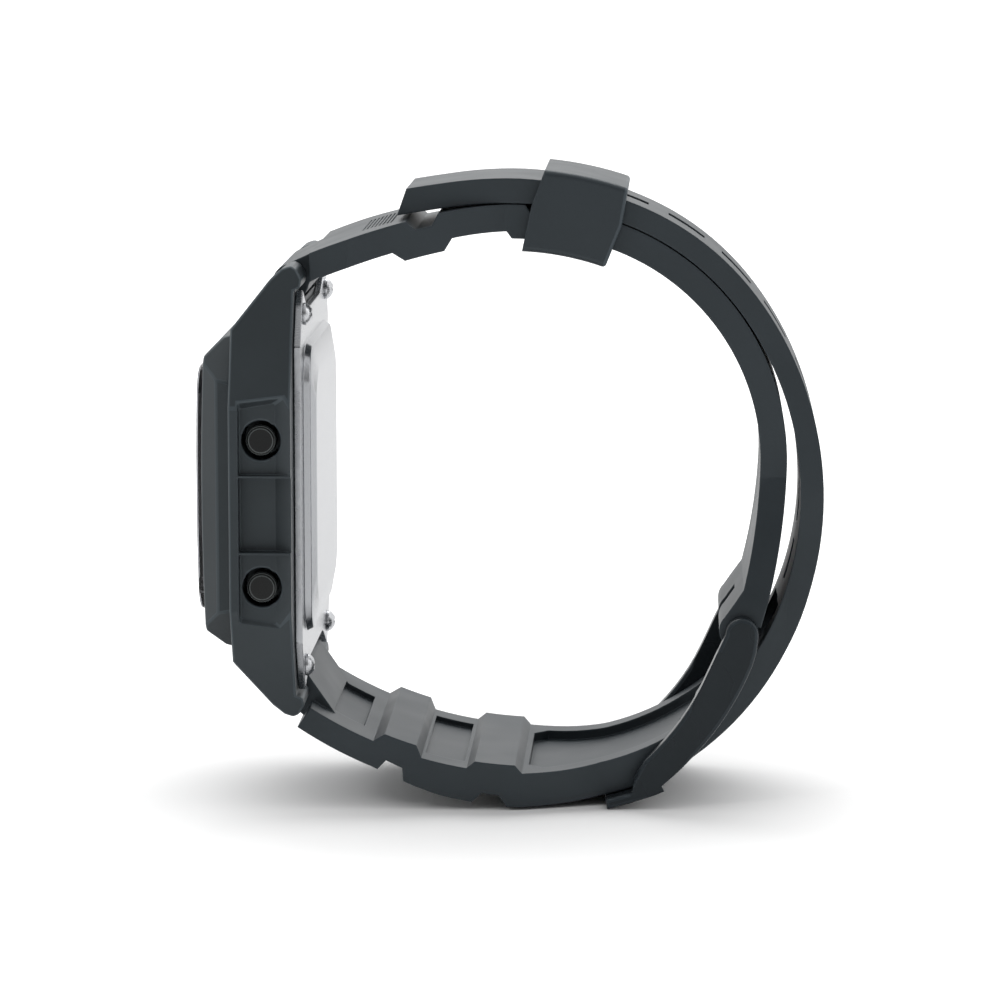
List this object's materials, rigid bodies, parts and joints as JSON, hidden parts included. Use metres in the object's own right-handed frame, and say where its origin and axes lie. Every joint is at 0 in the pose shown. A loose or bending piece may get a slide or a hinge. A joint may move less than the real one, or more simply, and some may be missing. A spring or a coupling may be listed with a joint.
{
  "type": "digital watch",
  "caption": "Resin digital watch on a buckled strap: steel back, four push buttons, spring bars, keeper and buckle",
  "frame": {"origin": "centre of the bounding box's lowest face, on the surface that the buckled strap stands on", "axes": "+X runs from the dial to the buckle side of the strap, +Y from the 3 o'clock flank to the 9 o'clock flank, +Z from 6 to 12 o'clock"},
  "size_m": [0.0656, 0.042, 0.0671],
  "materials": {
    "case_resin": "satin",
    "bezel_resin": "satin",
    "strap_resin": "satin",
    "button_black": "gloss",
    "crystal": "polished",
    "steel_back": "brushed",
    "steel_small": "satin",
    "spring_steel": "satin",
    "gasket_rubber": "matte",
    "mask_black": "satin",
    "display_glass": "satin",
    "backlight": "matte",
    "strip_rubber": "matte",
    "frame_white": "matte",
    "board_green": "satin",
    "chip_black": "matte",
    "brass_disc": "satin"
  },
  "bodies": {
    "case": {"case_shell": "case_resin", "bezel": "bezel_resin", "crystal": "crystal", "crystal_gasket": "gasket_rubber", "dial_mask": "mask_black", "lcd_panel": "display_glass", "backlight_panel": "backlight", "connector_strips": "strip_rubber", "module_frame": "frame_white", "circuit_board": "board_green", "driver_chip": "chip_black", "quartz_can": "steel_small", "coin_cell": "steel_small", "battery_clip": "spring_steel", "buzzer_disc": "brass_disc", "buzzer_spring": "spring_steel", "button_contacts": "spring_steel", "back_gasket": "gasket_rubber", "case_back": "steel_back", "back_screws": "steel_small", "spring_2_oclock": "spring_steel", "spring_4_oclock": "spring_steel", "spring_8_oclock": "spring_steel", "spring_10_oclock": "spring_steel", "top_bar_tube": "steel_small", "top_bar_spring": "spring_steel", "bottom_bar_tube": "steel_small", "bottom_bar_spring": "spring_steel", "strap_long": "strap_resin"},
    "button_2_oclock": {"button_2_oclock": "button_black", "seal_2_oclock": "gasket_rubber", "clip_2_oclock": "spring_steel"},
    "button_4_oclock": {"button_4_oclock": "button_black", "seal_4_oclock": "gasket_rubber", "clip_4_oclock": "spring_steel"},
    "button_8_oclock": {"button_8_oclock": "button_black", "seal_8_oclock": "gasket_rubber", "clip_8_oclock": "spring_steel"},
    "button_10_oclock": {"button_10_oclock": "button_black", "seal_10_oclock": "gasket_rubber", "clip_10_oclock": "spring_steel"},
    "strap_short": {"strap_short": "strap_resin", "buckle_bar_tube": "steel_small", "buckle_bar_spring": "spring_steel"},
    "keeper": {"keeper": "strap_resin"},
    "buckle_frame": {"buckle_frame": "case_resin"},
    "buckle_tongue": {"buckle_tongue": "case_resin"},
    "top_pin_near": {"top_bar_pin_near": "steel_small"},
    "top_pin_far": {"top_bar_pin_far": "steel_small"},
    "bottom_pin_near": {"bottom_bar_pin_near": "steel_small"},
    "bottom_pin_far": {"bottom_bar_pin_far": "steel_small"},
    "buckle_pin_near": {"buckle_bar_pin_near": "steel_small"},
    "buckle_pin_far": {"buckle_bar_pin_far": "steel_small"}
  },
  "joints": [
    {"name": "press_2_oclock", "type": "slide", "parent": "case", "child": "button_2_oclock", "axis": [0, 1, 0], "range_m": [0, 0.0007], "stiffness_N_per_m": 900, "springref_m": -0.0004, "deforming": ["spring_2_oclock"]},
    {"name": "press_4_oclock", "type": "slide", "parent": "case", "child": "button_4_oclock", "axis": [0, 1, 0], "range_m": [0, 0.0007], "stiffness_N_per_m": 900, "springref_m": -0.0004, "deforming": ["spring_4_oclock"]},
    {"name": "press_8_oclock", "type": "slide", "parent": "case", "child": "button_8_oclock", "axis": [0, -1, 0], "range_m": [0, 0.0007], "stiffness_N_per_m": 900, "springref_m": -0.0004, "deforming": ["spring_8_oclock"]},
    {"name": "press_10_oclock", "type": "slide", "parent": "case", "child": "button_10_oclock", "axis": [0, -1, 0], "range_m": [0, 0.0007], "stiffness_N_per_m": 900, "springref_m": -0.0004, "deforming": ["spring_10_oclock"]},
    {"name": "strap_hinge", "type": "hinge", "parent": "case", "child": "strap_short", "pos_m": [-0.02314, 0, 0.05536], "axis": [0, 1, 0], "range_deg": [-3, 3], "stiffness_Nm_per_rad": 0.8, "deforming": ["strap_long"]},
    {"name": "keeper_slide", "type": "hinge", "parent": "strap_short", "child": "keeper", "pos_m": [-0.00023, 0, 0.0289], "axis": [0, 1, 0], "range_deg": [-2, 4]},
    {"name": "buckle_hinge", "type": "hinge", "parent": "strap_short", "child": "buckle_frame", "pos_m": [0.02427, 0, 0.01882], "axis": [0, -1, 0], "range_deg": [0, 3.5]},
    {"name": "tongue_hinge", "type": "hinge", "parent": "strap_short", "child": "buckle_tongue", "pos_m": [0.02427, 0, 0.01882], "axis": [0, -1, 0], "range_deg": [0, 3.5]},
    {"name": "top_pin_near_slide", "type": "slide", "parent": "case", "child": "top_pin_near", "axis": [0, 1, 0], "range_m": [0, 0.0012], "stiffness_N_per_m": 250, "springref_m": -0.0008, "deforming": ["top_bar_spring"]},
    {"name": "top_pin_far_slide", "type": "slide", "parent": "case", "child": "top_pin_far", "axis": [0, -1, 0], "range_m": [0, 0.0012], "stiffness_N_per_m": 250, "springref_m": -0.0008, "deforming": ["top_bar_spring"]},
    {"name": "bottom_pin_near_slide", "type": "slide", "parent": "case", "child": "bottom_pin_near", "axis": [0, 1, 0], "range_m": [0, 0.0012], "stiffness_N_per_m": 250, "springref_m": -0.0008, "deforming": ["bottom_bar_spring"]},
    {"name": "bottom_pin_far_slide", "type": "slide", "parent": "case", "child": "bottom_pin_far", "axis": [0, -1, 0], "range_m": [0, 0.0012], "stiffness_N_per_m": 250, "springref_m": -0.0008, "deforming": ["bottom_bar_spring"]},
    {"name": "buckle_pin_near_slide", "type": "slide", "parent": "strap_short", "child": "buckle_pin_near", "axis": [0, 1, 0], "range_m": [0, 0.0012], "stiffness_N_per_m": 250, "springref_m": -0.0008, "deforming": ["buckle_bar_spring"]},
    {"name": "buckle_pin_far_slide", "type": "slide", "parent": "strap_short", "child": "buckle_pin_far", "axis": [0, -1, 0], "range_m": [0, 0.0012], "stiffness_N_per_m": 250, "springref_m": -0.0008, "deforming": ["buckle_bar_spring"]}
  ],
  "couplings": [
    {"joint": "tongue_hinge", "follows": "buckle_hinge", "ratio": 1}
  ]
}
